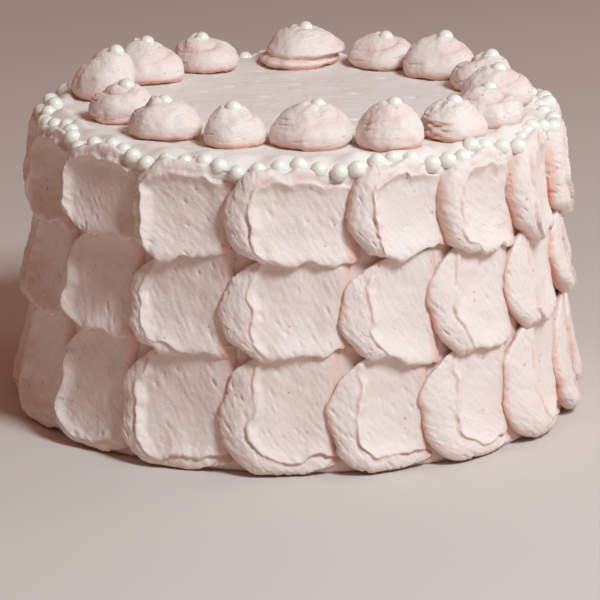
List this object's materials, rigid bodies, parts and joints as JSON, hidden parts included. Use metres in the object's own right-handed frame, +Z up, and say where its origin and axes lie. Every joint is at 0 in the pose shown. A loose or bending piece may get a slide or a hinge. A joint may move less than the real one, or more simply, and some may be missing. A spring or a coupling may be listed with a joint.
{
  "type": "layer cake",
  "caption": "Round layer cake coated in pale pink icing pressed into petals in rows, with piped dollops and sugar pearls round its top edge.",
  "frame": {"origin": "middle of the flat foot that the cake stands on", "axes": "+Z up through the middle of the cake; -Y towards the side that the picture shows; +X to the right of that view"},
  "size_m": [0.2196, 0.2193, 0.1338],
  "materials": {
    "pink_icing": "matt whipped icing, very pale pink, with fine air holes and spatula marks",
    "piped_icing": "matt piped whipped icing, very pale pink, with soft turns",
    "sugar_pearl": "polished off-white sugar pearl with a soft lustre"
  },
  "bodies": {
    "root": {"cake_body": "pink_icing", "dollop_01": "piped_icing", "dollop_02": "piped_icing", "dollop_03": "piped_icing", "dollop_04": "piped_icing", "dollop_05": "piped_icing", "dollop_06": "piped_icing", "dollop_07": "piped_icing", "dollop_08": "piped_icing", "dollop_09": "piped_icing", "dollop_10": "piped_icing", "dollop_11": "piped_icing", "dollop_12": "piped_icing", "dollop_13": "piped_icing", "dollop_14": "piped_icing", "dollop_15": "piped_icing"}
  },
  "joints": []
}
